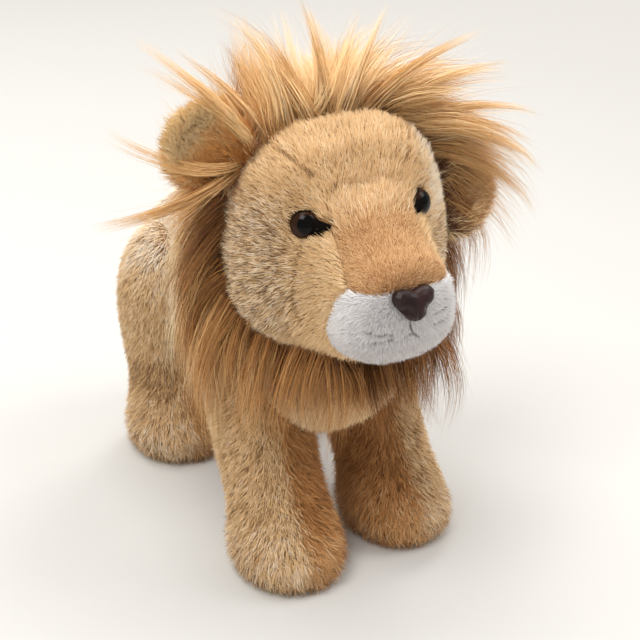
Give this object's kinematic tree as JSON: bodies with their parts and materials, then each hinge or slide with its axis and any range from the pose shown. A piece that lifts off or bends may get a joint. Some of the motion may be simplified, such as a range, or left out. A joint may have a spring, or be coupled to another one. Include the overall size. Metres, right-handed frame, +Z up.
{
  "type": "plush lion",
  "caption": "Stuffed plush lion standing on four legs, with a long-pile mane, safety eyes and nose, and a limp tail with a tuft.",
  "frame": {"origin": "middle of the toy's box on the floor that it stands on", "axes": "-Y the way the lion faces, +X its own left side, +Z up from the soles"},
  "size_m": [0.1838, 0.2482, 0.254],
  "materials": {
    "tan_pile": "plush pile, tan, grizzled with paler tips",
    "short_pile": "short velvety pile, warm tan",
    "white_pile": "short fluffy pile, white",
    "mane_pile": "long pile, golden orange with brown roots",
    "brown_pile": "short pile, dark brown",
    "fibre_filling": "loose polyester fibre",
    "eye_gloss": "glossy, black and dark brown",
    "nose_moulding": "satin moulding, dark brown",
    "washer_plastic": "plain moulded ring, off-white"
  },
  "bodies": {
    "body": {"torso_skin": "tan_pile", "torso_filling": "fibre_filling", "head_skin": "tan_pile", "head_filling": "fibre_filling", "bridge_panel": "short_pile", "muzzle_panel": "white_pile", "leg_front_right_skin": "tan_pile", "leg_front_right_filling": "fibre_filling", "leg_front_left_skin": "tan_pile", "leg_front_left_filling": "fibre_filling", "leg_hind_right_skin": "tan_pile", "leg_hind_right_filling": "fibre_filling", "leg_hind_left_skin": "tan_pile", "leg_hind_left_filling": "fibre_filling", "eye_right": "eye_gloss", "eye_washer_right": "washer_plastic", "ear_back_right": "tan_pile", "ear_lining_right": "brown_pile", "mane_side_right": "mane_pile", "mane_shoulder_right": "mane_pile", "eye_left": "eye_gloss", "eye_washer_left": "washer_plastic", "ear_back_left": "tan_pile", "ear_lining_left": "brown_pile", "mane_side_left": "mane_pile", "mane_shoulder_left": "mane_pile", "nose": "nose_moulding", "nose_washer": "washer_plastic", "mane_crown": "mane_pile", "mane_top": "mane_pile", "mane_nape": "mane_pile", "mane_bib": "mane_pile"},
    "tail_upper": {"tail_upper": "tan_pile"},
    "tail_lower": {"tail_lower": "tan_pile", "tail_tuft": "mane_pile"}
  },
  "joints": [
    {"name": "tail_lift", "type": "hinge", "parent": "body", "child": "tail_upper", "pos_m": [0, 0.11641, 0.11146], "axis": [1, 0, 0], "range_deg": [0, 110]},
    {"name": "tail_swing", "type": "hinge", "parent": "tail_upper", "child": "tail_lower", "pos_m": [0, 0.11641, 0.07346], "axis": [0, 1, 0], "range_deg": [-60, 60]}
  ]
}
